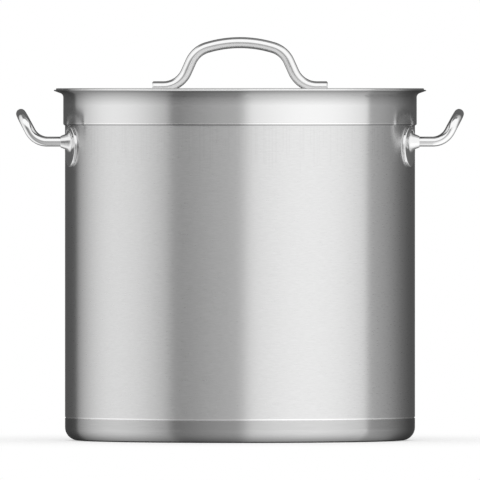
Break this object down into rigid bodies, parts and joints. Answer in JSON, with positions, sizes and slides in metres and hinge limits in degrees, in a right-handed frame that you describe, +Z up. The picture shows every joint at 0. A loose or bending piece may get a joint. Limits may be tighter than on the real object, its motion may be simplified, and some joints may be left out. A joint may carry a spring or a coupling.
{
  "type": "stock pot",
  "caption": "Tall straight-sided stainless steel stock pot with side loop handles on cast pads, a flared pouring lip, a sandwich base and a lift-off lid with a bow handle.",
  "frame": {"origin": "centre of the underside of the base, on the surface that the pot stands on", "axes": "+Z up, along the pot's axis; +X out through the middle of the right side handle; -Y towards whoever faces the pot"},
  "size_m": [0.4605, 0.3832, 0.4147],
  "materials": {
    "satin_steel": "satin, brushed round the pot, with a polished belt under the lip",
    "base_steel": "fine turned, half bright",
    "core_aluminium": "as rolled",
    "cast_steel": "mirror polished casting",
    "polished_rod": "mirror polished",
    "lid_steel": "satin, brushed in rings, with a polished edge"
  },
  "bodies": {
    "pot": {"pot_shell": "satin_steel", "base_cap": "base_steel", "base_core": "core_aluminium", "left_front_pad": "cast_steel", "left_rear_pad": "cast_steel", "right_front_pad": "cast_steel", "right_rear_pad": "cast_steel", "left_handle": "polished_rod", "right_handle": "polished_rod"},
    "lid": {"lid": "lid_steel", "lid_handle": "polished_rod"}
  },
  "joints": [
    {"name": "lid_lift", "type": "slide", "parent": "pot", "child": "lid", "axis": [0, 0, 1], "range_m": [0, 0.15]}
  ]
}
